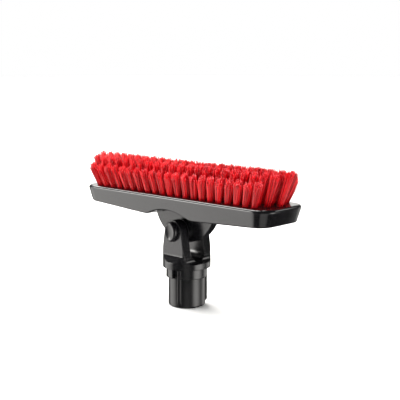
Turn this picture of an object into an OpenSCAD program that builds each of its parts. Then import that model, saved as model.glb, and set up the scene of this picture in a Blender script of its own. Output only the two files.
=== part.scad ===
// Swivelling scrub brush head: a long moulded block of bristle tufts on a forked holder with a pole socket.
// X runs along the block, Y along the pivot, Z up. The origin is the centre of the socket's lower end.

/* [Block] */
// Length of the brush block
block_l = 216; // [205:1:240]
// Width of the brush block
block_w = 52; // [52:1:60]
// Height of the block's top face above the socket's lower end
block_top_z = 97; // [96:0.5:100]
// Thickness of the block at its two ends
end_h = 14; // [13:0.5:15]
// Thickness of the block beside the arch
mid_h = 18.4; // [17:0.2:19]
// Plan radius of the block's four corners
corner_r = 13; // [9:0.5:16]
// Radius of the rounded top edge
edge_r = 2.4; // [1:0.2:3]
// Radius of the arch that clears the fork
arch_r = 52; // [48:1:60]
// Half width of the arch where it meets the block's underside
arch_half = 25; // [24:1:27]

/* [Tufts] */
// Tufts in each of the two outer rows
outer_tufts = 21; // [17:2:21]
// Spacing of the tufts along a row
tuft_pitch = 9.1; // [8:0.1:9.1]
// Spacing of the rows
row_pitch = 9.5; // [8.5:0.1:9.5]
// Diameter of a tuft in its hole
tuft_d = 4.5; // [3.5:0.1:5]
// Diameter of a tuft at its tips
tip_d = 6; // [5:0.1:6.5]
// Depth of a tuft hole
hole_depth = 7.5; // [6:0.5:8]
// Height of the tips over the block in the middle row
centre_trim = 28; // [20:0.5:32]
// Height of the tips over the block in the outer rows
edge_trim = 19.5; // [16:0.5:24]
// Outward lean of the tufts at the ends of an outer row, in degrees
end_lean = 20; // [0:1:22]
// Outward lean of the outer rows, in degrees
side_lean = 10; // [0:1:12]

/* [Fork] */
// Height of the pivot
pivot_z = 66; // [65:0.5:67]
// Half of the gap between the two arms
arm_in = 8; // [8:0.1:8.4]
// Distance from the middle to an arm's outer face
arm_out = 16.8; // [16.6:0.1:17.4]
// Radius of an arm's rounded top
arm_top_r = 9.6; // [9.4:0.1:10.4]
// Radius of the fork's round skirt
skirt_r = 20.6; // [20:0.1:21]
// Radius of the collar under the skirt
collar_r = 17.75; // [17.4:0.05:18.2]

/* [Pole socket] */
// Diameter of the pole that the socket takes
pole_d = 25.4; // [24:0.1:25.6]
// Outside diameter of the socket tube
socket_od = 31.4; // [31:0.1:31.6]
// Depth of the pole socket
socket_depth = 30; // [20:1:30]
// Number of ribs on the socket tube
ribs = 3; // [2:1:4]
// Width of a rib
rib_w = 2.8; // [2:0.1:3.4]
// Turn of the first rib about the socket's axis, in degrees
rib_turn = -68; // [-90:1:-45]

/* [Release button] */
// Width of the oval button
button_w = 13.2; // [12:0.1:13.6]
// Height of the oval button
button_h = 16.8; // [15:0.1:17]
// How far the button stands out from the arm
button_proud = 3.9; // [3.4:0.1:4.2]
// Travel of the button
button_travel = 2.6; // [2.4:0.1:2.6]

/* [Hidden] */

$fn = 64;
hull_fn = 32;
eps = 0.01;

// Block
under_end_z = block_top_z - end_h;
under_mid_z = block_top_z - mid_h;
side_draft = 9.5;
end_draft = 16;
arch_rise = arch_r - sqrt(arch_r * arch_r - arch_half * arch_half);
arch_z = under_mid_z + arch_rise - arch_r;
core_floor_z = block_top_z - 10.5;
core_size = [15.5, 19];
core_x = [37.5, 55, 72.5, 90];
core_y = 11;

// Lug and hub under the block
lug_r = 36.9;
lug_z = pivot_z + 26.2;
lug_t = 7;
hub_r = 10;
hub_half = 7.2;

// Tufts
rows = 5;
outer_y = (rows - 1) / 2 * row_pitch;
outer_x = (outer_tufts - 1) / 2 * tuft_pitch;
hole_gap = 0.05;
staple = [4.2, 0.5, 1.6];
staple_z = 0.6 - hole_depth;

// Fork
gap_floor_z = pivot_z - 26.3;
skirt_z = 34;
skirt_top_z = 39.6;
flat_z = 45.6;
collar_z = 25.6;
arm_taper = 9.4;
arm_foot_z = 44;
foot_fillet = 5;
arm_foot_half = arm_top_r / cos(arm_taper) + (pivot_z - arm_foot_z) * tan(arm_taper);

// Keyed head of the socket tube inside the fork
key_r = 14;
key_top_z = 37;
key_gap = 0.1;
spigot_r = 14.6;
rib_top_z = skirt_z - 0.1;
rib_foot_z = 4;
slot_angle = 27;
slot_turn = -7.5;

// Screw that holds the socket tube
screw_r = 1.95;
screw_seat_z = 38.9;
screw_end_z = 32;

// Pivot stack along Y, from the middle outwards
bolt_r = 2.5;
run_gap = 0.05;
seat_floor = 10.4;
seat_mouth_r = 7.25;
seat_floor_r = 6.25;
web_out = 12;
bolt_head_r = 4.3;
bolt_head_t = 2.2;
nut_seat = 12.4;
nut_r = 4.6;
nut_t = 4;
washer_r = 9.4;
washer_in = hub_half + 0.05;
washer_out = arm_in - 0.05;
pocket_r = 7.6;
pocket_floor = 5.2;
bush_r = 3.5;
cone_hex_r = 7.45;
cone_back = -2.6;
seat_t = 0.5;

// Clutch spring
spring_r = 4.7;
spring_wire_r = 0.4;
spring_turns = 3.5;

// Button
leg_size = [3, 1.2];
leg_r = 5.3;
leg_gap = 0.15;
button_skirt = 14.9;
button_wall = 1.4;

function row_y(i) = (i - (rows + 1) / 2) * row_pitch;
function row_count(i) = outer_tufts + (rows - 1) / 2 - abs(i - (rows + 1) / 2);
function tuft_x(i, j) = (j - (row_count(i) - 1) / 2) * tuft_pitch;
function lean_x(x) = end_lean * x / outer_x;
function lean_y(y) = side_lean * y / outer_y;
function trim(y) = centre_trim - (centre_trim - edge_trim) * pow(y / outer_y, 2);
function tuft_length(x, y) = trim(y) / (cos(lean_x(x)) * cos(lean_y(y)));
function oval(w, h, n = 48) = [for (k = [0:n - 1]) [w / 2 * cos(360 * k / n), h / 2 * sin(360 * k / n)]];

// Turns a shape drawn along +Z from the pivot so that it lies along +Y
module along_pivot() {
    translate([0, 0, pivot_z]) rotate([-90, 0, 0]) children();
}

// Cylinder on the pivot axis from y0 to y1
module pivot_rod(r, y0, y1, fn = 64) {
    along_pivot() translate([0, 0, y0]) cylinder(r = r, h = y1 - y0, $fn = fn);
}

module pivot_ring(r, hole, y0, y1) {
    difference() {
        pivot_rod(r, y0, y1);
        pivot_rod(hole, y0 - 1, y1 + 1);
    }
}

// Draws its child at each tuft of one row, with +Z along the tuft and the block's top face at zero
module at_tufts(i) {
    for (j = [0:row_count(i) - 1]) {
        translate([tuft_x(i, j), row_y(i), block_top_z])
            rotate([-lean_y(row_y(i)), lean_x(tuft_x(i, j)), 0])
                children();
    }
}

// Four upright corner discs of one level of the block, inset from its outline
module corner_discs(z, inset_x, inset_y, r) {
    for (sx = [-1, 1], sy = [-1, 1]) {
        translate([sx * (block_l / 2 - inset_x - r), sy * (block_w / 2 - inset_y - r), z - eps])
            cylinder(r = r, h = eps, $fn = hull_fn);
    }
}

// Drafted block with a rounded top edge, before its underside is cut
module block_blank() {
    hull() {
        for (t = [0, 15, 30, 45, 60, 75, 90]) {
            corner_discs(
                block_top_z - edge_r * (1 - sin(t)), edge_r * (1 - cos(t)), edge_r * (1 - cos(t)),
                corner_r - edge_r * (1 - cos(t))
            );
        }
        corner_discs(
            under_mid_z, mid_h * tan(end_draft), mid_h * tan(side_draft), corner_r - mid_h * tan(side_draft)
        );
    }
}

// Everything below the block's sloping underside and under its arch
module under_block() {
    reach = block_l / 2 + 10;
    rotate([90, 0, 0]) linear_extrude(block_w + 20, center = true) polygon([
        [-reach, under_end_z], [-arch_half, under_mid_z], [arch_half, under_mid_z], [reach, under_end_z],
        [reach, under_mid_z - 20], [-reach, under_mid_z - 20]
    ]);
    translate([0, 0, arch_z]) rotate([90, 0, 0]) cylinder(r = arch_r, h = block_w + 20, center = true, $fn = 96);
}

module core_pockets() {
    for (sx = [-1, 1], sy = [-1, 1], x = core_x) {
        translate([sx * x - core_size[0] / 2, sy * core_y - core_size[1] / 2, under_mid_z - 20])
            cube([core_size[0], core_size[1], core_floor_z - under_mid_z + 20]);
    }
}

// Fan-shaped lug that hangs from the block and carries the hub
module lug() {
    intersection() {
        translate([0, 0, lug_z]) rotate([90, 0, 0]) cylinder(r = lug_r, h = lug_t, center = true, $fn = 128);
        translate([-lug_r, -lug_t, pivot_z - 20]) cube([2 * lug_r, 2 * lug_t, core_floor_z - pivot_z + 20]);
    }
}

module brush_block() {
    color("#1c1d1f") difference() {
        union() {
            difference() {
                block_blank();
                under_block();
                core_pockets();
            }
            lug();
            pivot_rod(hub_r, -hub_half, hub_half);
        }
        for (i = [1:rows]) {
            at_tufts(i) translate([0, 0, -hole_depth]) cylinder(d = tuft_d + 2 * hole_gap, h = hole_depth + 2, $fn = 24);
        }
        pivot_rod(pocket_r, -hub_half - 1, pocket_floor, 6);
        pivot_rod(pocket_r, -hub_half - 1, -hub_half + 2.2);
        pivot_rod(bush_r + run_gap, 0, hub_half + 1);
    }
}

// One row of tufts, each flared from its hole to its tips and folded over its staple
module bristle_row(i) {
    color("#d3141f") for (j = [0:row_count(i) - 1]) {
        translate([tuft_x(i, j), row_y(i), block_top_z])
            rotate([-lean_y(row_y(i)), lean_x(tuft_x(i, j)), 0])
                difference() {
                    union() {
                        translate([0, 0, eps - hole_depth]) cylinder(d = tuft_d, h = hole_depth, $fn = 24);
                        cylinder(d1 = tuft_d, d2 = tip_d, h = tuft_length(tuft_x(i, j), row_y(i)), $fn = 24);
                    }
                    translate([0, 0, staple_z + staple[2] / 2])
                        cube([tuft_d + 1, staple[1] + 0.1, staple[2] + 0.1], center = true);
                }
    }
}

// Flat wire staples that anchor one row of tufts
module staple_row(i) {
    color("#b9bcc0") at_tufts(i) translate([0, 0, staple_z + staple[2] / 2]) cube(staple, center = true);
}

// Side view of the fork: skirt, waist, tapering arms and their round tops
module fork_outline() {
    difference() {
        union() {
            translate([-skirt_r, skirt_z]) square([2 * skirt_r, arm_foot_z - skirt_z]);
            polygon([
                [-arm_foot_half, arm_foot_z - 1], [arm_foot_half, arm_foot_z - 1],
                [arm_top_r * cos(arm_taper), pivot_z + arm_top_r * sin(arm_taper)],
                [-arm_top_r * cos(arm_taper), pivot_z + arm_top_r * sin(arm_taper)]
            ]);
            translate([0, pivot_z]) circle(r = arm_top_r);
        }
        for (s = [-1, 1]) {
            translate([s * (arm_foot_half + foot_fillet), arm_foot_z]) circle(r = foot_fillet);
        }
    }
}

// End view of the fork: flat outer faces that bevel out to the round skirt
module fork_flats() {
    polygon([
        [-skirt_r, collar_z], [skirt_r, collar_z], [skirt_r, skirt_top_z], [arm_out, flat_z],
        [arm_out, pivot_z + 20], [-arm_out, pivot_z + 20], [-arm_out, flat_z], [-skirt_r, skirt_top_z]
    ]);
}

module fork_body() {
    intersection() {
        rotate([90, 0, 0]) linear_extrude(4 * skirt_r, center = true) fork_outline();
        rotate([90, 0, 90]) linear_extrude(4 * skirt_r, center = true) fork_flats();
        translate([0, 0, skirt_z]) cylinder(r = skirt_r, h = pivot_z, $fn = 96);
    }
    translate([0, 0, collar_z]) cylinder(r = collar_r, h = skirt_z - collar_z + 1, $fn = 96);
}

// Round-bottomed gap between the arms
module fork_gap() {
    translate([0, 0, gap_floor_z + arm_in]) {
        rotate([0, 90, 0]) cylinder(r = arm_in, h = 4 * skirt_r, center = true);
        translate([-2 * skirt_r, -arm_in, 0]) cube([4 * skirt_r, 2 * arm_in, pivot_z]);
    }
}

module collar_slots() {
    for (k = [0:ribs - 1]) {
        rotate([0, 0, rib_turn + slot_turn - slot_angle / 2 + k * 360 / ribs])
            translate([0, 0, collar_z - 1])
                rotate_extrude(angle = slot_angle, $fn = 96)
                    translate([spigot_r - 1, 0]) square([collar_r - spigot_r + 2, rib_top_z - collar_z + 1]);
    }
}

// Two small slots through the front arm's web for the button's legs
module leg_slots() {
    for (s = [-1, 1]) {
        translate([0, -seat_floor, pivot_z + s * leg_r])
            cube([leg_size[0] + 2 * leg_gap, 8, leg_size[1] + 2 * leg_gap], center = true);
    }
}

module yoke() {
    color("#202123") difference() {
        fork_body();
        fork_gap();
        collar_slots();
        translate([0, 0, collar_z - 1]) cylinder(r = spigot_r + key_gap, h = skirt_z - collar_z + 1.1, $fn = 96);
        translate([0, 0, skirt_z - 1]) cylinder(r = key_r + key_gap, h = key_top_z - skirt_z + 1.1, $fn = 6);
        cylinder(r = screw_r + 0.2, h = screw_seat_z + 5);
        translate([0, 0, screw_seat_z]) cylinder(r = 4.2, h = 3);
        pivot_rod(bolt_r + run_gap, -arm_out, arm_out);
        along_pivot() translate([0, 0, -seat_floor]) cylinder(
            r1 = seat_floor_r, r2 = seat_mouth_r + (seat_mouth_r - seat_floor_r) / (seat_floor - arm_in),
            h = seat_floor - arm_in + 1
        );
        along_pivot() translate([0, 0, -arm_out - 1])
            linear_extrude(arm_out + 1 - web_out) polygon(oval(button_w + 0.3, button_h + 0.3));
        leg_slots();
        pivot_rod(nut_r + 0.1, nut_seat, arm_out + 1, 6);
    }
}

module pole_socket() {
    tube_r = socket_od / 2;
    foot_r = 1.6;
    color("#232426") difference() {
        union() {
            rotate_extrude($fn = 96) union() {
                square([tube_r - foot_r, foot_r + 1]);
                translate([0, foot_r]) square([tube_r, collar_z - 0.1 - foot_r]);
                translate([0, foot_r]) square([spigot_r, skirt_z - foot_r]);
                translate([tube_r - foot_r, foot_r]) circle(r = foot_r, $fn = 48);
            }
            translate([0, 0, skirt_z - 1]) cylinder(r = key_r, h = key_top_z - skirt_z + 1, $fn = 6);
            for (k = [0:ribs - 1]) {
                rotate([0, 0, rib_turn + k * 360 / ribs]) rotate([90, 0, 0])
                    linear_extrude(rib_w, center = true) polygon([
                        [spigot_r - 1, rib_foot_z - 1.6], [tube_r, rib_foot_z - 1.6], [collar_r - 0.1, rib_foot_z + 0.6],
                        [collar_r - 0.1, rib_top_z], [spigot_r - 1, rib_top_z]
                    ]);
            }
        }
        translate([0, 0, -1]) cylinder(d = pole_d + 0.2, h = socket_depth + 1, $fn = 96);
        cylinder(r = screw_r + 0.02, h = pivot_z);
    }
}

module socket_screw() {
    color("#c3c6ca") difference() {
        union() {
            translate([0, 0, screw_seat_z]) cylinder(r = 3.9, h = 1.6);
            translate([0, 0, screw_seat_z + 1.6]) cylinder(r1 = 3.9, r2 = 2.8, h = 0.8);
            translate([0, 0, screw_end_z]) cylinder(r = screw_r, h = screw_seat_z - screw_end_z + 1);
            translate([0, 0, screw_end_z - 1.6]) cylinder(r1 = 0.6, r2 = screw_r, h = 1.6);
        }
        for (turn = [0, 90]) {
            rotate([0, 0, turn]) translate([-2, -0.45, screw_seat_z + 1]) cube([4, 0.9, 3]);
        }
    }
}

module pivot_bolt() {
    color("#c3c6ca") difference() {
        union() {
            pivot_rod(bolt_r, -web_out - 1, arm_out - 0.2);
            pivot_rod(bolt_head_r, -web_out - bolt_head_t, -web_out);
        }
        pivot_rod(1.75, -web_out - bolt_head_t - 1, -web_out - 0.6, 6);
    }
}

module pivot_nut() {
    color("#c3c6ca") difference() {
        pivot_rod(nut_r, nut_seat, nut_seat + nut_t, 6);
        pivot_rod(bolt_r + 0.02, nut_seat - 1, nut_seat + nut_t + 1);
    }
}

module front_friction_washer() {
    color("#d9d6cc") pivot_ring(washer_r, pocket_r + 0.2, -washer_out, -washer_in);
}

module back_friction_washer() {
    color("#d9d6cc") pivot_ring(washer_r, bush_r + 0.2, washer_in, washer_out);
}

module pivot_bush() {
    color("#d9d6cc") pivot_ring(bush_r, bolt_r + run_gap, pocket_floor + 0.1, hub_half);
}

// Hexagonal slider with a tapered friction face that seats in the front arm
module clutch_cone() {
    face_l = seat_floor - arm_in - 0.05;
    color("#4a4d52") difference() {
        union() {
            pivot_rod(cone_hex_r, -hub_half + 0.2, cone_back, 6);
            pivot_rod(6.4, -arm_in, -hub_half + 0.3);
            along_pivot() translate([0, 0, -arm_in - face_l])
                cylinder(r1 = seat_floor_r - 0.03, r2 = seat_mouth_r - 0.05, h = face_l);
        }
        pivot_rod(bolt_r + run_gap, -seat_floor - 1, cone_back + 1);
    }
}

// Round wire wound as a helix between the clutch cone and its seat washer, with its ends closed by flat discs
module clutch_spring() {
    steps = 22;
    sides = 8;
    y0 = cone_back + spring_wire_r + 0.1;
    y1 = pocket_floor - seat_t - spring_wire_r - 0.2;
    rings = round(spring_turns * steps);
    function centre_turn(k) = 360 * k / steps;
    function wire_point(k, s) = [
        (spring_r + spring_wire_r * cos(360 * s / sides)) * cos(centre_turn(k)),
        (spring_r + spring_wire_r * cos(360 * s / sides)) * sin(centre_turn(k)),
        y0 + (y1 - y0) * k / rings + spring_wire_r * sin(360 * s / sides)
    ];
    color("#b9bcc0") along_pivot() polyhedron(
        points = [for (k = [0:rings], s = [0:sides - 1]) wire_point(k, s)],
        faces = concat(
            [for (k = [0:rings - 1], s = [0:sides - 1]) [
                k * sides + s, (k + 1) * sides + s,
                (k + 1) * sides + (s + 1) % sides, k * sides + (s + 1) % sides
            ]],
            [[for (s = [0:sides - 1]) s]],
            [[for (s = [0:sides - 1]) rings * sides + sides - 1 - s]]
        )
    );
}

module spring_seat() {
    color("#c3c6ca") pivot_ring(6.2, bolt_r + 0.4, pocket_floor - seat_t - 0.1, pocket_floor - 0.1);
}

// Hollow oval cap whose two legs reach through the arm to the clutch cone
module release_button() {
    face_y = arm_out + button_proud;
    rim = 0.9;
    color("#26272a") {
        difference() {
            along_pivot() translate([0, 0, -face_y]) union() {
                linear_extrude(rim + 0.1) polygon(oval(button_w - 1.4, button_h - 1.4));
                translate([0, 0, rim]) linear_extrude(face_y - rim - button_skirt) polygon(oval(button_w, button_h));
            }
            pivot_rod(4.9, button_wall - face_y, 0);
        }
        for (s = [-1, 1]) {
            translate([-leg_size[0] / 2, button_wall - face_y - 0.2, pivot_z + s * leg_r - leg_size[1] / 2])
                cube([leg_size[0], face_y - button_wall + 0.2 - seat_floor - 0.05, leg_size[1]]);
        }
    }
}

yoke();
pole_socket();
socket_screw();
pivot_bolt();
pivot_nut();
front_friction_washer();
back_friction_washer();
brush_block();
pivot_bush();
bristle_row(1);  // bristle_row_1
bristle_row(2);  // bristle_row_2
bristle_row(3);  // bristle_row_3
bristle_row(4);  // bristle_row_4
bristle_row(5);  // bristle_row_5
staple_row(1);  // staple_row_1
staple_row(2);  // staple_row_2
staple_row(3);  // staple_row_3
staple_row(4);  // staple_row_4
staple_row(5);  // staple_row_5
clutch_cone();
clutch_spring();
spring_seat();
release_button();
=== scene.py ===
"""Looks for the swivelling scrub brush head: red tufts in a glossy black block, on a forked pole holder."""
import math

import bmesh
import bpy
import numpy as np
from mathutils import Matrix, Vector


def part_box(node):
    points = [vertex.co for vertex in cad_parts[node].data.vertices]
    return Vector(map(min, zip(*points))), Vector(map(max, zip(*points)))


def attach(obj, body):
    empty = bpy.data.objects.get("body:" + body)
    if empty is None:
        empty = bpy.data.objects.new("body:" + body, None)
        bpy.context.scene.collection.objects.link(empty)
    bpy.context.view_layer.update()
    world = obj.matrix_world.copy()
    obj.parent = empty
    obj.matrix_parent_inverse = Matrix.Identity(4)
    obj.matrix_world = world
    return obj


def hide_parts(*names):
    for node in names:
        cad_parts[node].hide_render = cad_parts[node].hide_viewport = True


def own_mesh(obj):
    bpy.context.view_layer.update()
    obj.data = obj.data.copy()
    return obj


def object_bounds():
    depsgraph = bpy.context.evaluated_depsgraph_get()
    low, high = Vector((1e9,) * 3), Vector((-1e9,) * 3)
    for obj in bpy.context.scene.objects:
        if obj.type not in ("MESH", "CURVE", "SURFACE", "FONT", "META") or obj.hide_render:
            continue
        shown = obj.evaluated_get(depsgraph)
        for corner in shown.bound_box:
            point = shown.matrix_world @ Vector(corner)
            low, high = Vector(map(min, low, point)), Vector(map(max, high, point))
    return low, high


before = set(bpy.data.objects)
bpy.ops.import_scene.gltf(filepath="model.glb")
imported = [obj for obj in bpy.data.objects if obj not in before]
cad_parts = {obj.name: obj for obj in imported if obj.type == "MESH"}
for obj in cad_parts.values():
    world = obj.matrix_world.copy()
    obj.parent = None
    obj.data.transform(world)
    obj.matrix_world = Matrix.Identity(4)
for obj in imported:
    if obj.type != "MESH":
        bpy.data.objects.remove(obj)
cad_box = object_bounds()

MM = 0.001
DECK_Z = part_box("brush_block")[1].z
PIVOT_Z = 66 * MM
ALONG_Y = np.array([0.0, 1.0, 0.0])

# Camera: a long lens a little above the block, a quarter turn round from the button side
CAMERA_AZIMUTH = 44.004
CAMERA_ELEVATION = 9.015
CAMERA_DISTANCE = 679.214 * MM
CAMERA_LENS = 72
AIM_RIGHT = 11.359 * MM
AIM_HEIGHT = 90.957 * MM

# Studio floor, in metres: half its side, and how far it lies under the socket's lower end
FLOOR_HALF = 30
FLOOR_DROP = 0.05 * MM

# Moulded and plated finishes: relief of the grain, size of the flow marks, and how unevenly each one shines
GRAIN_RELIEF = 0.05 * MM
FLOW_MARK_MM = 22
PLASTIC_UNEVEN = 0.18
METAL_UNEVEN = 0.3

# Block, as the CAD piece has it. Its deck closes on a spine along the middle line
BLOCK_HALF_L = 108 * MM
BLOCK_HALF_W = 26 * MM
CORNER_R = 13 * MM
CORNER_TURN = np.radians([0, 14, 27, 29.5, 41, 53, 65, 78, 90])
TOP_EDGE_R = 2.4 * MM
LOW_EDGE_R = 1.5 * MM
WALL_DROP = 16 * MM
DRAFT_SIDE = 3.08 * MM
DRAFT_END = 5.28 * MM
SPINE_HALF = 92.5 * MM
UNDER_MID_Z = 78.6 * MM
UNDER_END_Z = 83 * MM
ARCH_R = 52 * MM
ARCH_HALF = 25 * MM
ARCH_BLEND = 1.1 * MM
ARCH_LINES = 27 * MM

# Pockets under the block. Their walls slope a little, so that the grid of the underside can follow them
POCKET_TOP_Z = 86.5 * MM
POCKET_X = np.array([37.5, 55, 72.5, 90]) * MM
POCKET_HALF = 7.75 * MM
POCKET_NEAR_Y = 1.5 * MM
POCKET_FAR_Y = 20.5 * MM
POCKET_SLOPE = 0.4 * MM
END_Y = np.array([-POCKET_NEAR_Y - POCKET_SLOPE, -POCKET_NEAR_Y, POCKET_NEAR_Y, POCKET_NEAR_Y + POCKET_SLOPE])

# Lug and hub: how far they reach from the block's middle plane and how high, and where the lug's arcs centre
LUG_HALF_Y = 7.4 * MM
LUG_TOP_Z = 86.6 * MM
LUG_ARC_Z = PIVOT_Z + 26.2 * MM

# Fork: its arms' straight sides widen from the pivot down to a fillet at the collar
ARM_TAPER = math.radians(9.4)
ARM_HALF = 9.6 * MM
FORK_FILLET_R = 5 * MM
FORK_FILLET_Z = 44 * MM
FORK_FILLET_X = (
    ARM_HALF / math.cos(ARM_TAPER) + (PIVOT_Z - FORK_FILLET_Z) * math.tan(ARM_TAPER) + FORK_FILLET_R
)
FORK_SADDLE_Z = 47.7 * MM
PIVOT_AXIS = ((0, 0, PIVOT_Z), (0, 1, 0))
SOCKET_AXIS = ((0, 0, 0), (0, 0, 1))

# Pole socket, in millimetres and degrees
RIB_TURN = -68
RIB_COUNT = 3
RIB_R = 17.65
RIB_FOOT = (2.4, 4.6)
RIB_ANGLES = [0, 2.3, 3.0, 3.6, 4.1, 4.6, 5.0, 5.3, 5.6, 7]
RIB_SHARES = [1, 1, 0.985, 0.95, 0.89, 0.77, 0.55, 0.28, 0, 0]
TUBE_R = 15.7
TUBE_EDGE_R = 1.6
TUBE_TOP = 25.5
SPIGOT_R = 14.6
SPIGOT_TOP = 33.9
POLE_R = 12.8
BORE_DEPTH = 30.0
SCREW_HOLE_R = 2.0

# Release button, in millimetres. Its depth runs along the pivot, with the front arm at its back
BUTTON_HALF_X = 6.6
BUTTON_HALF_Z = 8.4
BUTTON_RIM = 1.7
BUTTON_FRONT = -20.7
BUTTON_BACK = -14.9
BUTTON_DISH = 0.75
HOLLOW_R = 4.9
HOLLOW_FRONT = -19.0

# Clutch spring, between the clutch cone and its steel seat
SPRING_FRONT = -2.5 * MM
SPRING_BACK = 4.5 * MM
SPRING_R = 4.7 * MM
SPRING_WIRE_R = 0.4 * MM
SPRING_TURNS = 5
SPRING_CLOSING = 0.8

# Bristle tufts: where they stand, and the surface that they are trimmed to
ROWS = 5
OUTER_TUFTS = 21
TUFT_PITCH = 9.1 * MM
ROW_PITCH = 9.5 * MM
CENTRE_TRIM = 28.0 * MM
EDGE_TRIM = 19.5 * MM
END_LEAN = math.radians(20)
SIDE_LEAN = math.radians(10)
HOLE_RADIUS = 2.5 * MM
TIP_SPREAD = 3.55 * MM
BRISTLE_ROOM = (cad_box[1].x - 0.9 * MM, cad_box[1].y - 1.0 * MM, cad_box[1].z - 0.3 * MM)

# Filaments of a tuft, with turns in radians. They are coarser and fewer than real ones, so that they show
FILAMENTS = 60
FILAMENT_RADIUS = 0.3 * MM
FILAMENT_SIDES = 5
FILAMENT_RINGS = 6
GOLDEN_TURN = 2.39996
FULL_TURN = 6.283
ROOT_DEPTH = 1.5 * MM
TIP_TWIST = 0.12
TIP_OPENING = (0.82, 1.12)
BOW = 0.16 * MM
CURL = 0.14 * MM
EARLY_OPENING = 0.55

# Trim of the tips: each tuft slopes down outwards, is crowned, and is a little ragged, with a few strays
TRIM_SLOPE = 0.35
TUFT_TOP = 25 * MM
TRIM_LOSS = 0.8 * MM
TIP_POINT = 1.4 * MM
TUFT_RAGGED = 0.35 * MM
CUT_RAGGED = 1.5 * MM
STRAY = 1.2 * MM
STRAY_SHARE = (-0.6, 1)

# The second strand coordinate runs to this along a filament's side, and is 1 all over its cut face
SIDE_END = 0.95


def view_axes(azimuth, elevation):
    """The direction back towards the camera, and the direction to its right, from its two angles."""
    a, e = math.radians(azimuth), math.radians(elevation)
    back = Vector((math.sin(a) * math.cos(e), -math.cos(a) * math.cos(e), math.sin(e)))
    return back, Vector((math.cos(a), math.sin(a), 0))


def make_camera():
    """The scene's camera, aimed at a point a little to the right of the pole socket's axis."""
    back, right = view_axes(CAMERA_AZIMUTH, CAMERA_ELEVATION)
    lens = bpy.data.cameras.new("studio_camera")
    lens.lens = CAMERA_LENS
    lens.sensor_width = 36
    lens.clip_start = 0.01
    lens.clip_end = 50
    camera = bpy.data.objects.new("studio_camera", lens)
    bpy.context.collection.objects.link(camera)
    camera.location = back * CAMERA_DISTANCE + right * AIM_RIGHT + Vector((0, 0, AIM_HEIGHT))
    camera.rotation_mode = "QUATERNION"
    camera.rotation_quaternion = (-back).to_track_quat("-Z", "Y")
    bpy.context.scene.camera = camera


def linear(hex_colour):
    """An sRGB hex colour as linear red, green, blue and an alpha of 1."""
    parts = [int(hex_colour[i:i + 2], 16) / 255 for i in (1, 3, 5)]
    return tuple(p / 12.92 if p <= 0.04045 else ((p + 0.055) / 1.055) ** 2.4 for p in parts) + (1.0,)


def add(tree, kind, settings=None, **links):
    """Adds one node.

    Settings are its properties, or its input values by name or number. Links join an input to another node's
    output, and an input that is known by its number has an underscore before it.
    """
    node = tree.nodes.new(kind)
    for name, value in (settings or {}).items():
        if isinstance(name, int) or name in node.inputs:
            node.inputs[name].default_value = value
        else:
            setattr(node, name, value)
    for name, source in links.items():
        key = int(name[1:]) if name[0] == "_" else name.replace("_", " ")
        tree.links.new(source, node.inputs[key])
    return node


def new_material(name):
    """A material with an empty node tree, and that tree."""
    material = bpy.data.materials.new(name)
    material.use_nodes = True
    tree = material.node_tree
    tree.nodes.clear()
    return material, tree


def noise(tree, size_mm, detail):
    """Noise on Object coordinates whose features are about this many millimetres across."""
    spot = add(tree, "ShaderNodeTexCoord").outputs["Object"]
    settings = {"Scale": 1 / (size_mm * MM), "Detail": detail}
    return add(tree, "ShaderNodeTexNoise", settings, Vector=spot).outputs["Fac"]


def uneven(tree, middle, share, pattern):
    """A value that a pattern moves by this share either way."""
    limits = {"To Min": middle * (1 - share), "To Max": middle * (1 + share)}
    return add(tree, "ShaderNodeMapRange", limits, Value=pattern).outputs["Result"]


def moulded_plastic(name, colour, roughness, ior, grain_mm, grain_depth, edge_mm):
    """Injection-moulded polymer: an even body, a gloss that its grain breaks up slightly, and eased edges."""
    material, tree = new_material(name)
    eased = add(tree, "ShaderNodeBevel", {"samples": 6, "Radius": edge_mm * MM})
    bump = add(
        tree, "ShaderNodeBump", {"Strength": grain_depth, "Distance": GRAIN_RELIEF},
        Height=noise(tree, grain_mm, 3.0), Normal=eased.outputs["Normal"]
    )
    shader = add(
        tree, "ShaderNodeBsdfPrincipled", {"Base Color": linear(colour), "IOR": ior},
        Roughness=uneven(tree, roughness, PLASTIC_UNEVEN, noise(tree, FLOW_MARK_MM, 2.0)),
        Normal=bump.outputs["Normal"]
    )
    add(tree, "ShaderNodeOutputMaterial", Surface=shader.outputs["BSDF"])
    return material


def plain_metal(name, colour, roughness, grain_mm):
    """Plated or drawn steel: bright, with a fine uneven shine from the plating."""
    material, tree = new_material(name)
    shader = add(
        tree, "ShaderNodeBsdfPrincipled", {"Base Color": linear(colour), "Metallic": 1.0},
        Roughness=uneven(tree, roughness, METAL_UNEVEN, noise(tree, grain_mm, 4.0))
    )
    add(tree, "ShaderNodeOutputMaterial", Surface=shader.outputs["BSDF"])
    return material


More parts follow.
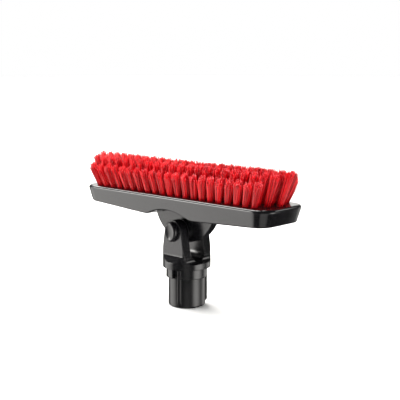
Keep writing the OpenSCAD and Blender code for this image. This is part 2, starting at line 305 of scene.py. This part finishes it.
def bristle_filament():
    """Extruded polyester filament: saturated red with a soft shine, and a pale pink painted highlight on the
    face where it was cut.

    The first strand coordinate gives each filament its own shade, and the second one finds the cut face,
    where the highlight is painted.
    """
    material, tree = new_material("red_polyester_filament")
    strand = add(tree, "ShaderNodeUVMap", {"uv_map": "strand"})
    parts = add(tree, "ShaderNodeSeparateXYZ", Vector=strand.outputs["UV"])
    shade = add(tree, "ShaderNodeValToRGB", Fac=parts.outputs["X"])
    shade.color_ramp.elements[0].color = linear("#85020A")
    shade.color_ramp.elements[1].color = linear("#DC0915")
    painted_tip_highlight = add(tree, "ShaderNodeValToRGB", Fac=parts.outputs["Y"])
    painted_tip_highlight.color_ramp.elements[0].position = 0.955
    painted_tip_highlight.color_ramp.elements[0].color = linear("#000000")
    painted_tip_highlight.color_ramp.elements[1].position = 0.99
    painted_tip_highlight.color_ramp.elements[1].color = linear("#FFFFFF")
    # The pale pink mixed in on each cut end is a painted highlight, for tips catching the light
    colour = add(
        tree, "ShaderNodeMix", {"data_type": "RGBA", 7: linear("#F2505A")},
        _0=painted_tip_highlight.outputs["Color"], _6=shade.outputs["Color"]
    )
    shader = add(
        tree, "ShaderNodeBsdfPrincipled",
        {
            "Roughness": 0.36, "IOR": 1.5, "Specular IOR Level": 0.55, "Subsurface Weight": 0.12,
            "Subsurface Scale": 0.6 * MM, "Subsurface Radius": (1.0, 0.1, 0.08),
        },
        Base_Color=colour.outputs[2]
    )
    add(tree, "ShaderNodeOutputMaterial", Surface=shader.outputs["BSDF"])
    return material


def ring_faces(rows, columns, close_rows=False):
    """Four-sided faces of a grid of points, row by row, whose columns run round a closed ring."""
    k = np.arange(rows if close_rows else rows - 1)[:, None] * columns
    up = (k + columns) % (rows * columns)
    i = np.arange(columns)[None, :]
    j = (i + 1) % columns
    return np.stack([k + i, k + j, up + j, up + i], -1).reshape(-1, 4)


def sheet_faces(rows, columns):
    """Four-sided faces of an open grid of points, row by row."""
    a = (np.arange(rows - 1)[:, None] * columns + np.arange(columns - 1)[None, :]).ravel()
    return np.stack([a, a + columns, a + columns + 1, a + 1], 1)


def closed_grid(name, points, close_rows):
    """A mesh from a grid of points with columns round a ring. Its rows close too, or end in flat caps."""
    rows, columns = points.shape[:2]
    faces = ring_faces(rows, columns, close_rows).tolist()
    if not close_rows:
        faces += [list(range(columns))[::-1], list(range((rows - 1) * columns, rows * columns))]
    mesh = bpy.data.meshes.new(name)
    mesh.from_pydata(points.reshape(-1, 3).tolist(), [], faces)
    mesh.polygons.foreach_set("use_smooth", np.ones(len(mesh.polygons), bool))
    return mesh


def row_tufts(row):
    """Base points and directions of one row's tufts. They lean outwards, more the further out they stand."""
    middle = (ROWS + 1) // 2
    count = OUTER_TUFTS + middle - 1 - abs(row - middle)
    x = (np.arange(count) - (count - 1) / 2) * TUFT_PITCH
    y = np.full(count, (row - middle) * ROW_PITCH)
    lean_x = END_LEAN * x / ((OUTER_TUFTS - 1) / 2 * TUFT_PITCH)
    lean_y = SIDE_LEAN * y / ((ROWS - 1) / 2 * ROW_PITCH)
    way = np.stack([np.cos(lean_y) * np.sin(lean_x), np.sin(lean_y), np.cos(lean_y) * np.cos(lean_x)], 1)
    return np.stack([x, y, np.full(count, DECK_Z)], 1), way


def trim_height(y):
    """Height of the trimmed surface over the deck: a parabola across the block, highest in its middle."""
    edge = (ROWS - 1) / 2 * ROW_PITCH
    return CENTRE_TRIM - (CENTRE_TRIM - EDGE_TRIM) * (y / edge) ** 2


def spokes(way, turn):
    """Unit directions square to each tuft, at these turns about it."""
    side = np.cross(way, ALONG_Y)
    side /= np.linalg.norm(side, axis=1, keepdims=True)
    other = np.cross(way, side)
    return side[:, None, :] * np.cos(turn)[..., None] + other[:, None, :] * np.sin(turn)[..., None]


def cut_lengths(rng, base, way, reach, opening):
    """Each filament's length along its tuft.

    Its height is the trim height at its tuft, less a slope outwards from the block's middle line, less a
    crown that falls off with the square of its place in the tuft, plus a small random lift of the tuft and
    of the filament. No filament stands more than a stray's random share above the trim height. The length
    is that height divided by the upright part of the tuft's direction.
    """
    shape = opening.shape[:2]
    trim = trim_height(base[:, None, 1])
    top_y = base[:, None, 1] + way[:, None, 1] * TUFT_TOP
    outwards = np.abs(top_y + opening[..., 1]) - np.abs(top_y)
    height = trim - TRIM_SLOPE * outwards - TRIM_LOSS - TIP_POINT * reach ** 2
    height = height + rng.normal(0, TUFT_RAGGED, (len(base), 1))
    height = height + rng.normal(0, CUT_RAGGED, shape)
    height = np.minimum(height, trim + rng.uniform(*STRAY_SHARE, shape) * STRAY)
    return height / way[:, None, 2]


def filament_paths(rng, base, way):
    """Middle lines of one row's filaments, as points from the hole to the cut end.

    Each one starts at a point of a sunflower pattern in its hole, where the distance from the middle grows
    as the root of the filament's number, and ends at the same pattern opened wider. It opens with a share
    of t and the rest of t squared, with t from 0 at the hole to 1 at the cut end. It also bows sideways as
    4 * t * (1 - t), and curls as t squared. The tips stay a little inside the CAD model's box.
    """
    shape = (len(base), FILAMENTS)
    index = np.arange(FILAMENTS)
    turn = index * GOLDEN_TURN + rng.uniform(0, FULL_TURN, (len(base), 1))
    reach = np.sqrt((index + 0.5) / FILAMENTS)
    tip_reach = reach * TIP_SPREAD * rng.uniform(*TIP_OPENING, shape)
    start = spokes(way, turn) * (reach * (HOLE_RADIUS - FILAMENT_RADIUS))[:, None]
    opening = spokes(way, turn + rng.normal(0, TIP_TWIST, shape)) * tip_reach[..., None]

    foot = base[:, None, :] - way[:, None, :] * ROOT_DEPTH
    length = cut_lengths(rng, base, way, reach, opening)
    room = np.array(BRISTLE_ROOM)
    tip = np.clip(base[:, None, :] + way[:, None, :] * length[..., None] + opening, -room, room)

    t = np.linspace(0, 1, FILAMENT_RINGS)[:, None]
    level = np.array([1, 1, 0])
    bow = rng.normal(0, BOW, shape + (1, 3)) * level
    curl = rng.normal(0, CURL, shape + (1, 3)) * level
    ease = EARLY_OPENING * t + (1 - EARLY_OPENING) * t * t
    along = foot[:, :, None, :] + (tip - opening - foot)[:, :, None, :] * t
    spread = start[:, :, None, :] * (1 - ease) + opening[:, :, None, :] * ease
    path = along + spread + bow * 4 * t * (1 - t) + curl * t * t
    return path.reshape(-1, FILAMENT_RINGS, 3)


def rod_points(path):
    """Points of the filaments' sides: a small circle of points, square to the path, at each of its points."""
    heading = np.gradient(path, axis=1)
    heading /= np.linalg.norm(heading, axis=2, keepdims=True)
    level = np.cross(heading, ALONG_Y)
    level /= np.linalg.norm(level, axis=2, keepdims=True)
    upright = np.cross(heading, level)
    angle = np.arange(FILAMENT_SIDES) * 2 * math.pi / FILAMENT_SIDES
    circle = level[:, :, None, :] * np.cos(angle)[:, None] + upright[:, :, None, :] * np.sin(angle)[:, None]
    return path[:, :, None, :] + circle * FILAMENT_RADIUS


def bristle_row(row, seed):
    """One row of tufts as thin rods: a circle carried along each filament's middle line, with flat ends."""
    rng = np.random.default_rng(seed)
    path = filament_paths(rng, *row_tufts(row))
    rods = len(path)
    shade = rng.uniform(0, 1, rods)

    per_rod = FILAMENT_RINGS * FILAMENT_SIDES
    offset = np.arange(rods)[:, None, None] * per_rod
    walls = (ring_faces(FILAMENT_RINGS, FILAMENT_SIDES)[None] + offset).reshape(-1, 4)
    foot_cap = np.arange(FILAMENT_SIDES)[::-1]
    tip_cap = per_rod - FILAMENT_SIDES + np.arange(FILAMENT_SIDES)
    caps = (np.stack([foot_cap, tip_cap])[None] + offset).reshape(-1, FILAMENT_SIDES)
    loops = np.concatenate([walls.ravel(), caps.ravel()])
    sizes = np.concatenate([np.full(len(walls), 4), np.full(len(caps), FILAMENT_SIDES)])

    mesh = bpy.data.meshes.new(f"bristles_{row}")
    mesh.vertices.add(rods * per_rod)
    mesh.vertices.foreach_set("co", rod_points(path).astype(np.float32).ravel())
    mesh.loops.add(len(loops))
    mesh.loops.foreach_set("vertex_index", loops.astype(np.int32))
    mesh.polygons.add(len(sizes))
    mesh.polygons.foreach_set("loop_start", np.concatenate([[0], np.cumsum(sizes)[:-1]]).astype(np.int32))
    mesh.polygons.foreach_set("use_smooth", np.arange(len(sizes)) < len(walls))
    mesh.update(calc_edges=True)

    strand = mesh.uv_layers.new(name="strand")
    v = (loops % per_rod) // FILAMENT_SIDES / (FILAMENT_RINGS - 1)
    v = np.where(np.arange(len(loops)) < walls.size, v * SIDE_END, v)
    strand.data.foreach_set("uv", np.stack([shade[loops // per_rod], v], 1).astype(np.float32).ravel())
    return mesh


def underside(x):
    """Height of the block's lower edge along its length.

    It is the larger of a straight slope up to each end and a round arch in the middle, with the corner
    between them rounded: half the sum of the two plus half the root of their squared difference and a small
    constant.
    """
    slope = UNDER_MID_Z + (np.abs(x) - ARCH_HALF) * (UNDER_END_Z - UNDER_MID_Z) / (BLOCK_HALF_L - ARCH_HALF)
    drop = math.sqrt(ARCH_R ** 2 - ARCH_HALF ** 2)
    arch = UNDER_MID_Z - drop + np.sqrt(np.maximum(ARCH_R ** 2 - x ** 2, 0))
    return (slope + arch + np.sqrt((slope - arch) ** 2 + ARCH_BLEND ** 2)) / 2


def long_lines():
    """Places along the block's long sides where its rings have points: pocket walls, arch, corner starts."""
    inner = POCKET_HALF - POCKET_SLOPE
    from_middle = np.array([-POCKET_HALF, -inner, inner, POCKET_HALF])
    walls = (POCKET_X[:, None] + from_middle).ravel()
    walls = walls[walls < SPINE_HALF]
    arch = np.linspace(-ARCH_LINES, ARCH_LINES, 37)
    return np.sort(np.concatenate([-walls, walls, arch, [-SPINE_HALF, SPINE_HALF]]))


def plan_ring(long_x, drop, inset):
    """One ring round the block, as x and y, from its front side on.

    Its half sizes shrink by the draft's share of the drop from the top edge and by the inset, and a quarter
    circle joins each side to the next. The drop may differ from point to point.
    """
    share = drop / WALL_DROP
    end = BLOCK_HALF_L - DRAFT_END * share - inset
    side = BLOCK_HALF_W - DRAFT_SIDE * share - inset
    radius = CORNER_R - DRAFT_SIDE * share - inset
    x, y = np.empty(len(drop)), np.empty(len(drop))
    half = [len(long_x), len(CORNER_TURN), len(END_Y), len(CORNER_TURN)]
    parts = np.split(np.arange(len(drop)), np.cumsum(half + half)[:-1])
    for sign, (long_side, near, short_side, far) in ((1, parts[:4]), (-1, parts[4:])):
        x[long_side], y[long_side] = sign * long_x, -sign * side[long_side]
        x[short_side], y[short_side] = sign * end[short_side], sign * END_Y
        for corner, turn, across in ((near, CORNER_TURN, -sign), (far, CORNER_TURN[::-1], sign)):
            x[corner] = sign * (end[corner] - radius[corner] + radius[corner] * np.sin(turn))
            y[corner] = across * (BLOCK_HALF_W - CORNER_R + radius[corner] * np.cos(turn))
    return x, y


def block_skin():
    """The block's outside: its plan, a rectangle with round corners, carried along a profile.

    The profile goes in under the low edge, round it, up the drafted wall, round the top edge and in over
    the deck to the middle line. The low edge's height and its place depend on each other, so they are
    worked out by turns.
    """
    long_x = long_lines()
    level = np.zeros(2 * (len(long_x) + 2 * len(CORNER_TURN) + len(END_Y)))
    top_z = DECK_Z - TOP_EDGE_R
    x, y = plan_ring(long_x, level, 0)
    for settling in range(3):
        low_z = underside(x) + LOW_EDGE_R
        x, y = plan_ring(long_x, top_z - low_z, 0)
    rows = []
    for t in np.radians([90, 68, 45, 22, 0]):
        x, y = plan_ring(long_x, top_z - low_z, LOW_EDGE_R * (1 - math.cos(t)))
        rows.append((x, y, underside(x) + LOW_EDGE_R * (1 - math.sin(t))))
    for share in (0.05, 0.35, 0.65, 0.95, 1.0):
        z = low_z + (top_z - low_z) * share
        rows.append((*plan_ring(long_x, top_z - z, 0), z))
    for t in np.radians([15, 30, 45, 60, 75, 90]):
        x, y = plan_ring(long_x, level, TOP_EDGE_R * (1 - math.cos(t)))
        rows.append((x, y, level + top_z + TOP_EDGE_R * math.sin(t)))
    x, y, z = rows[-1]
    spine = np.clip(x, -SPINE_HALF, SPINE_HALF)
    for share in (0.92, 0.5, 0.0):
        rows.append((spine + (x - spine) * share, y * share, z))
    return np.stack([np.stack(row, 1) for row in rows])


def pocket_share(place, near, far):
    """1 between near and far and 0 outside them, with a steep straight slope just inside each one."""
    return np.clip((place - near) / POCKET_SLOPE, 0, 1) * np.clip((far - place) / POCKET_SLOPE, 0, 1)


def block_under(low_ring):
    """The block's underside: a height over a grid of x and y lines that ends on the skin's lowest ring.

    It is the sloping lower edge, lifted to the pocket roof inside each pocket by a product of steep ramps.
    """
    count = len(long_lines())
    front = low_ring[:count + len(CORNER_TURN)]
    corner = front[count:]
    column_x = np.concatenate([-corner[::-1, 0], front[:, 0]])
    column_y = np.concatenate([-corner[::-1, 1], -front[:, 1]])
    beyond = BLOCK_HALF_W + 4 * MM
    far_lines = np.array([POCKET_FAR_Y - POCKET_SLOPE, POCKET_FAR_Y, beyond])
    lines = np.concatenate([-far_lines[::-1], END_Y, far_lines])
    x = column_x[:, None] + 0 * lines
    y = np.clip(lines, -column_y[:, None], column_y[:, None])
    lift = sum(pocket_share(np.abs(x), at - POCKET_HALF, at + POCKET_HALF) for at in POCKET_X)
    lift = lift * pocket_share(np.abs(y), POCKET_NEAR_Y, POCKET_FAR_Y)
    low = underside(x)
    return np.stack([x, y, low + (POCKET_TOP_Z - low) * lift], -1)


def block_shell():
    """The brush block's outside and underside as one closed shell, joined where their points meet."""
    skin = block_skin()
    under = block_under(skin[0])
    points = np.concatenate([skin.reshape(-1, 3), under.reshape(-1, 3)])
    facing_down = sheet_faces(*under.shape[:2])[:, [0, 3, 2, 1]] + skin.shape[0] * skin.shape[1]
    faces = np.concatenate([ring_faces(*skin.shape[:2]), facing_down])
    mesh = bpy.data.meshes.new("block_shell")
    mesh.from_pydata(points.tolist(), [], faces.tolist())
    work = bmesh.new()
    work.from_mesh(mesh)
    bmesh.ops.remove_doubles(work, verts=work.verts, dist=0.004 * MM)
    bmesh.ops.dissolve_degenerate(work, edges=work.edges, dist=0.004 * MM)
    work.to_mesh(mesh)
    work.free()
    mesh.polygons.foreach_set("use_smooth", np.ones(len(mesh.polygons), bool))
    return mesh


def keep_lug(mesh):
    """Keeps the lug and hub of the CAD block: the faces near its middle plane and under the deck."""
    work = bmesh.new()
    work.from_mesh(mesh)
    away = [f for f in work.faces if any(abs(v.co.y) > LUG_HALF_Y or v.co.z > LUG_TOP_Z for v in f.verts)]
    bmesh.ops.delete(work, geom=away, context="FACES")
    work.to_mesh(mesh)
    work.free()


def place(mesh, name, body, material, *stands_for):
    """Makes a mesh a piece that rides on a body, with one material, and stands for these CAD pieces."""
    piece = bpy.data.objects.new(name, mesh)
    bpy.context.collection.objects.link(piece)
    mesh.materials.clear()
    mesh.materials.append(material)
    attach(piece, body)
    if stands_for:
        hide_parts(*stands_for)
    return piece


def true_round_normals(mesh, axes):
    """Shades the faces of a CAD mesh as the round surfaces they stand for.

    A corner's normal points straight away from an axis, or straight towards it, where the face's corners
    are all as far from that axis as each other and the face looks along that radius. Other faces keep their
    flat normals.
    """
    count = len(mesh.polygons)
    corner = np.empty(len(mesh.loops), np.int32)
    mesh.loops.foreach_get("vertex_index", corner)
    spot = np.empty(len(mesh.vertices) * 3, np.float32)
    mesh.vertices.foreach_get("co", spot)
    p = spot.reshape(-1, 3)[corner].reshape(count, 3, 3).astype(float)
    face = np.cross(p[:, 1] - p[:, 0], p[:, 2] - p[:, 0])
    face /= np.maximum(np.linalg.norm(face, axis=1, keepdims=True), 1e-20)
    normal = np.repeat(face[:, None, :], 3, axis=1)
    free = np.ones(count, bool)
    for centre, way in axes:
        rel = p - np.array(centre)
        way = np.array(way, float)
        radial = rel - (rel @ way)[..., None] * way
        far = np.linalg.norm(radial, axis=2)
        radial /= np.maximum(far[..., None], 1e-9)
        looks = np.einsum("ijk,ik->ij", radial, face)
        same_radius = np.ptp(far, axis=1) < 0.01 * MM
        beside_axis = np.abs(face @ way) < 0.02
        along_radius = np.abs(looks).min(1) > 0.93
        on_round = same_radius & beside_axis & along_radius & free
        normal[on_round] = radial[on_round] * np.sign(looks[on_round])[..., None]
        free &= ~on_round
    mesh.polygons.foreach_set("use_smooth", np.ones(count, bool))
    mesh.normals_split_custom_set(normal.reshape(-1, 3).tolist())


def rounded_copy(node, name, body, material, axes):
    """A copy of a CAD piece, shaded as round where it is round, which stands for it."""
    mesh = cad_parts[node].data.copy()
    mesh.name = name
    piece = place(mesh, name, body, material, node)
    true_round_normals(mesh, axes)
    return piece


def tube_outline():
    """Radius and height of each ring of the socket, and how far up its rib stands there, from 0 to 1."""
    edge = np.radians([0, 18, 36, 54, 72, 90])
    centre = TUBE_R - TUBE_EDGE_R
    outside = [(centre + TUBE_EDGE_R * math.sin(a), TUBE_EDGE_R - TUBE_EDGE_R * math.cos(a)) for a in edge]
    outside += [(TUBE_R, height) for height in (RIB_FOOT[0], 3.5, RIB_FOOT[1], 5.2, 14, TUBE_TOP - 0.6)]
    outside += [(TUBE_R - 0.05, TUBE_TOP - 0.2), (TUBE_R - 0.3, TUBE_TOP), (SPIGOT_R, TUBE_TOP + 0.05)]
    outside += [(SPIGOT_R, TUBE_TOP + 0.7), (SPIGOT_R, SPIGOT_TOP - 0.4)]
    inside = [(SPIGOT_R - 0.3, SPIGOT_TOP), (SCREW_HOLE_R, SPIGOT_TOP), (SCREW_HOLE_R, BORE_DEPTH)]
    inside += [(POLE_R - 0.1, BORE_DEPTH), (POLE_R, BORE_DEPTH - 0.2), (POLE_R, 0.5), (POLE_R + 0.3, 0.0)]
    radius, height = np.array(outside + inside).T
    ribbed = np.arange(len(radius)) < len(outside)
    return radius, height, np.interp(height, RIB_FOOT, [0, 1]) * ribbed


def socket_tube():
    """The pole socket: a closed outline of radius and height, carried round the socket's axis.

    The outline runs up the outside, over the hidden top, down the screw hole, out over the bore's floor and
    down the bore to the rounded lower edge. On the outside each rib adds to the radius: its height over the
    tube times a rounded step of the angle from the rib's middle, times a ramp up from the rib's tapered
    foot.
    """
    turn = math.radians(RIB_TURN)
    pitch = 360 / RIB_COUNT
    shoulders = np.radians([-a for a in RIB_ANGLES[:0:-1]] + RIB_ANGLES)
    plain = np.radians(np.linspace(11, 109, 21))
    one_rib = np.concatenate([shoulders, plain])
    angle = np.concatenate([one_rib + turn + math.radians(pitch * k) for k in range(RIB_COUNT)])
    from_rib = np.abs((np.degrees(angle - turn) + pitch / 2) % pitch - pitch / 2)
    step = np.interp(from_rib, RIB_ANGLES, RIB_SHARES)
    radius, height, rib = tube_outline()
    r = (radius[:, None] + rib[:, None] * step[None, :] * (RIB_R - radius[:, None])) * MM
    points = np.stack([r * np.cos(angle), r * np.sin(angle), height[:, None] * MM + 0 * r], -1)
    return closed_grid("socket_tube", points, True)


def oval_cap():
    """The release button: an oval outline carried along a closed profile.

    The profile gives each ring's two half sizes and its depth along the pivot. It starts at the skirt,
    rises to a rounded rim and dips to a shallow dish whose depth falls off as the square of the distance
    from the middle, then goes down the hollow inside.
    """
    skirt = [(0, BUTTON_BACK), (0, BUTTON_BACK - 2), (0, BUTTON_FRONT + BUTTON_RIM + 0.3)]
    rim = [
        (BUTTON_RIM * (1 - math.cos(a)), BUTTON_FRONT + BUTTON_RIM * (1 - math.sin(a)))
        for a in np.radians([0, 18, 36, 54, 72, 90])
    ]
    profile = [(BUTTON_HALF_X - inset, BUTTON_HALF_Z - inset, depth) for inset, depth in skirt + rim]
    for rho in (0.96, 0.86, 0.7, 0.5, 0.3, 0.12, 0.004):
        half_x, half_z = (BUTTON_HALF_X - BUTTON_RIM) * rho, (BUTTON_HALF_Z - BUTTON_RIM) * rho
        profile.append((half_x, half_z, BUTTON_FRONT + BUTTON_DISH * (1 - rho ** 2)))
    hollow = [(0.02, BUTTON_FRONT + 1.5), (HOLLOW_R - 0.2, BUTTON_FRONT + 1.5), (HOLLOW_R, HOLLOW_FRONT)]
    profile += [(radius, radius, depth) for radius, depth in hollow + [(HOLLOW_R, BUTTON_BACK)]]
    half_x, half_z, depth = np.array(profile).T[..., None]
    angle = np.linspace(0, 2 * math.pi, 72, endpoint=False)
    x = half_x * np.cos(angle) * MM
    z = half_z * np.sin(angle) * MM + PIVOT_Z
    return closed_grid("button_cap", np.stack([x, depth * MM + 0 * x, z], -1), True)


def coil_spring():
    """The clutch spring: a circle of wire carried along a coil round the pivot axis.

    The turn grows in step with t, and the place along the axis as t less a share of sin(2 pi t) / (2 pi),
    with t from 0 to 1, so the coils lie closer together at both ends.
    """
    t = np.linspace(0, 1, 20 * SPRING_TURNS + 1)
    turn = 2 * math.pi * SPRING_TURNS * t
    first, last = SPRING_FRONT + SPRING_WIRE_R, SPRING_BACK - SPRING_WIRE_R
    along = first + (last - first) * (t - SPRING_CLOSING * np.sin(2 * math.pi * t) / (2 * math.pi))
    out = np.stack([np.cos(turn), 0 * t, np.sin(turn)], 1)
    angle = np.linspace(0, 2 * math.pi, 10, endpoint=False)
    across = out[:, None, :] * np.cos(angle)[:, None] + ALONG_Y * np.sin(angle)[:, None]
    path = out * SPRING_R + np.stack([0 * t, along, np.full(len(t), PIVOT_Z)], 1)
    return closed_grid("coil_spring", path[:, None, :] + across * SPRING_WIRE_R, False)


def studio_floor():
    """A flat pale floor: a grid of points at one height, a hair under the socket's lower end."""
    line = np.linspace(-FLOOR_HALF, FLOOR_HALF, 17)
    x, y = np.meshgrid(line, line, indexing="ij")
    points = np.stack([x, y, np.full_like(x, -FLOOR_DROP)], -1)
    mesh = bpy.data.meshes.new("floor")
    mesh.from_pydata(points.reshape(-1, 3).tolist(), [], sheet_faces(*x.shape).tolist())
    floor = bpy.data.objects.new("floor", mesh)
    bpy.context.collection.objects.link(floor)
    material, tree = new_material("matt_white_board")
    shader = add(tree, "ShaderNodeBsdfPrincipled", {"Base Color": linear("#F4F4F3"), "Roughness": 0.9})
    add(tree, "ShaderNodeOutputMaterial", Surface=shader.outputs["BSDF"])
    mesh.materials.append(material)
    floor.visible_glossy = False


def soft_box(tree, way, x, y, z, inner, outer, strength):
    """A round patch of brightness on the far sphere: a smooth step of the angle from its middle."""
    near = add(
        tree, "ShaderNodeVectorMath", {"operation": "DOT_PRODUCT", 1: Vector((x, y, z)).normalized()}, _0=way
    )
    limits = {"From Min": math.cos(math.radians(outer)), "From Max": math.cos(math.radians(inner))}
    settings = {"interpolation_type": "SMOOTHSTEP", "To Max": strength, **limits}
    return add(tree, "ShaderNodeMapRange", settings, Value=near.outputs["Value"]).outputs["Result"]


def studio_world(ambient, boxes):
    """Soft boxes over a faint even light, for the pieces' gloss, and a white backdrop for the camera."""
    world = bpy.data.worlds.new("studio")
    bpy.context.scene.world = world
    world.use_nodes = True
    tree = world.node_tree
    tree.nodes.clear()
    way = add(tree, "ShaderNodeTexCoord").outputs["Generated"]
    total = add(tree, "ShaderNodeMath", {"operation": "ADD", 1: ambient}, _0=soft_box(tree, way, *boxes[0]))
    for box in boxes[1:]:
        patch = soft_box(tree, way, *box)
        total = add(tree, "ShaderNodeMath", {"operation": "ADD"}, _0=total.outputs[0], _1=patch)
    light = add(tree, "ShaderNodeBackground", {"Color": linear("#E7E5E2")}, Strength=total.outputs[0])
    backdrop = add(tree, "ShaderNodeBackground", {"Color": linear("#FFFFFF"), "Strength": 1.0})
    ray = add(tree, "ShaderNodeLightPath")
    seen = add(
        tree, "ShaderNodeMixShader",
        _0=ray.outputs["Is Camera Ray"], _1=light.outputs["Background"], _2=backdrop.outputs["Background"]
    )
    add(tree, "ShaderNodeOutputWorld", Surface=seen.outputs["Shader"])


def area_light(name, position, aim, size, power):
    """A square lamp, in metres and watts, that lights the pieces but doesn't show in their gloss."""
    lamp = bpy.data.lights.new(name, "AREA")
    lamp.shape = "SQUARE"
    lamp.size = size
    lamp.energy = power
    light = bpy.data.objects.new(name, lamp)
    bpy.context.collection.objects.link(light)
    light.location = position
    light.rotation_mode = "QUATERNION"
    light.rotation_quaternion = (Vector(aim) - Vector(position)).to_track_quat("-Z", "Y")
    light.visible_glossy = False
    light.visible_camera = False


make_camera()

# Moulded blacks: the block is glossiest, the fork and lug less so, and the pole socket is satin from handling
gloss_black = moulded_plastic("gloss_black_polypropylene", "#0C0C0E", 0.15, 1.6, 1.1, 0.03, 0.3)
lug_black = moulded_plastic("gloss_black_polypropylene_lug", "#0C0C0E", 0.22, 1.6, 1.1, 0.05, 0.9)
fork_black = moulded_plastic("gloss_black_nylon_fork", "#0D0D0F", 0.23, 1.6, 0.9, 0.05, 0.9)
socket_black = moulded_plastic("satin_black_nylon_tube", "#0E0E10", 0.3, 1.58, 0.8, 0.08, 0.5)
button_black = moulded_plastic("gloss_black_acetal_button", "#0B0B0D", 0.2, 1.6, 0.9, 0.04, 1.2)
# Working parts of the swivel: waxy acetal, off-white or black, and dull grey nylon with glass in it
natural_acetal = moulded_plastic("natural_acetal", "#DAD7CB", 0.35, 1.48, 0.7, 0.08, 0.1)
black_acetal = moulded_plastic("black_acetal_washer", "#131315", 0.35, 1.48, 0.7, 0.05, 0.1)
clutch_nylon = moulded_plastic("dark_glass_filled_nylon", "#3A3D42", 0.5, 1.5, 0.4, 0.3, 0.15)
# Steels: bluish zinc plate, bright drawn wire, and duller flat wire
zinc_plate = plain_metal("zinc_plated_steel", "#BFC3C8", 0.3, 0.8)
spring_wire = plain_metal("drawn_spring_steel", "#A9ABAD", 0.28, 0.5)
staple_wire = plain_metal("flat_staple_wire", "#C2C3BF", 0.35, 0.6)
red_filament = bristle_filament()

shell = place(block_shell(), "block_moulding", "head", gloss_black, "brush_block")
shell.data.set_sharp_from_angle(angle=math.radians(32))
lug = place(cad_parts["brush_block"].data.copy(), "pivot_lug", "head", lug_black)
keep_lug(lug.data)
true_round_normals(lug.data, [PIVOT_AXIS, ((0, 0, LUG_ARC_Z), (0, 1, 0))])
fork = rounded_copy("yoke", "fork_moulding", "holder", fork_black, [
    SOCKET_AXIS,
    PIVOT_AXIS,
    ((0, 0, FORK_SADDLE_Z), (1, 0, 0)),
    ((FORK_FILLET_X, 0, FORK_FILLET_Z), (0, 1, 0)),
    ((-FORK_FILLET_X, 0, FORK_FILLET_Z), (0, 1, 0)),
])
tube = place(socket_tube(), "socket_moulding", "holder", socket_black, "pole_socket")
tube.data.set_sharp_from_angle(angle=math.radians(40))
cap = place(oval_cap(), "button_cap", "button", button_black, "release_button")
cap.data.set_sharp_from_angle(angle=math.radians(50))
coil = place(coil_spring(), "spring_coil", "head", spring_wire, "clutch_spring")
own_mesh(coil)
for row in range(1, ROWS + 1):
    piece = place(bristle_row(row, 40 + row), f"bristles_{row}", "head", red_filament, f"bristle_row_{row}")

# CAD pieces that show as they are
plain_pieces = {
    "socket_screw": zinc_plate, "pivot_bolt": zinc_plate, "pivot_nut": zinc_plate, "spring_seat": zinc_plate,
    "front_friction_washer": black_acetal, "back_friction_washer": black_acetal, "pivot_bush": natural_acetal,
    "clutch_cone": clutch_nylon,
}
plain_pieces.update({f"staple_row_{row}": staple_wire for row in range(1, ROWS + 1)})
for node, material in plain_pieces.items():
    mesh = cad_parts[node].data
    mesh.materials.clear()
    mesh.materials.append(material)

studio_floor()
# Each soft box: the way to its middle, the angles where it starts to fade and is gone, and its strength
studio_world(0.05, [
    (-0.52, 0.10, 0.85, 21, 28, 15.0),
    (-0.82, -0.52, -0.27, 12, 34, 3.0),
    (-0.69, 0.71, 0.10, 14, 34, 1.7),
    (-0.70, -0.69, 0.19, 5, 12, 15.0),
    (0.95, 0.25, -0.22, 10, 25, 4.8),
    (0.72, 0.66, -0.30, 3, 12, 1.6),
    (0.45, 0.73, 0.52, 5, 11, 4.5),
    (0.15, 0.98, -0.15, 8, 26, 1.8),
    (0.60, -0.57, -0.62, 10, 30, 0.9),
])
area_light("overhead_box", (0.05, -0.1, 1.1), (0, 0, 0.1), 0.9, 12)
area_light("left_box", (-0.9, -0.9, 0.6), (0, 0, 0.09), 0.7, 11)
area_light("right_fill", (1.0, -0.55, 0.45), (0.05, 0, 0.1), 0.5, 6.0)
bpy.context.scene.view_settings.view_transform = "Standard"
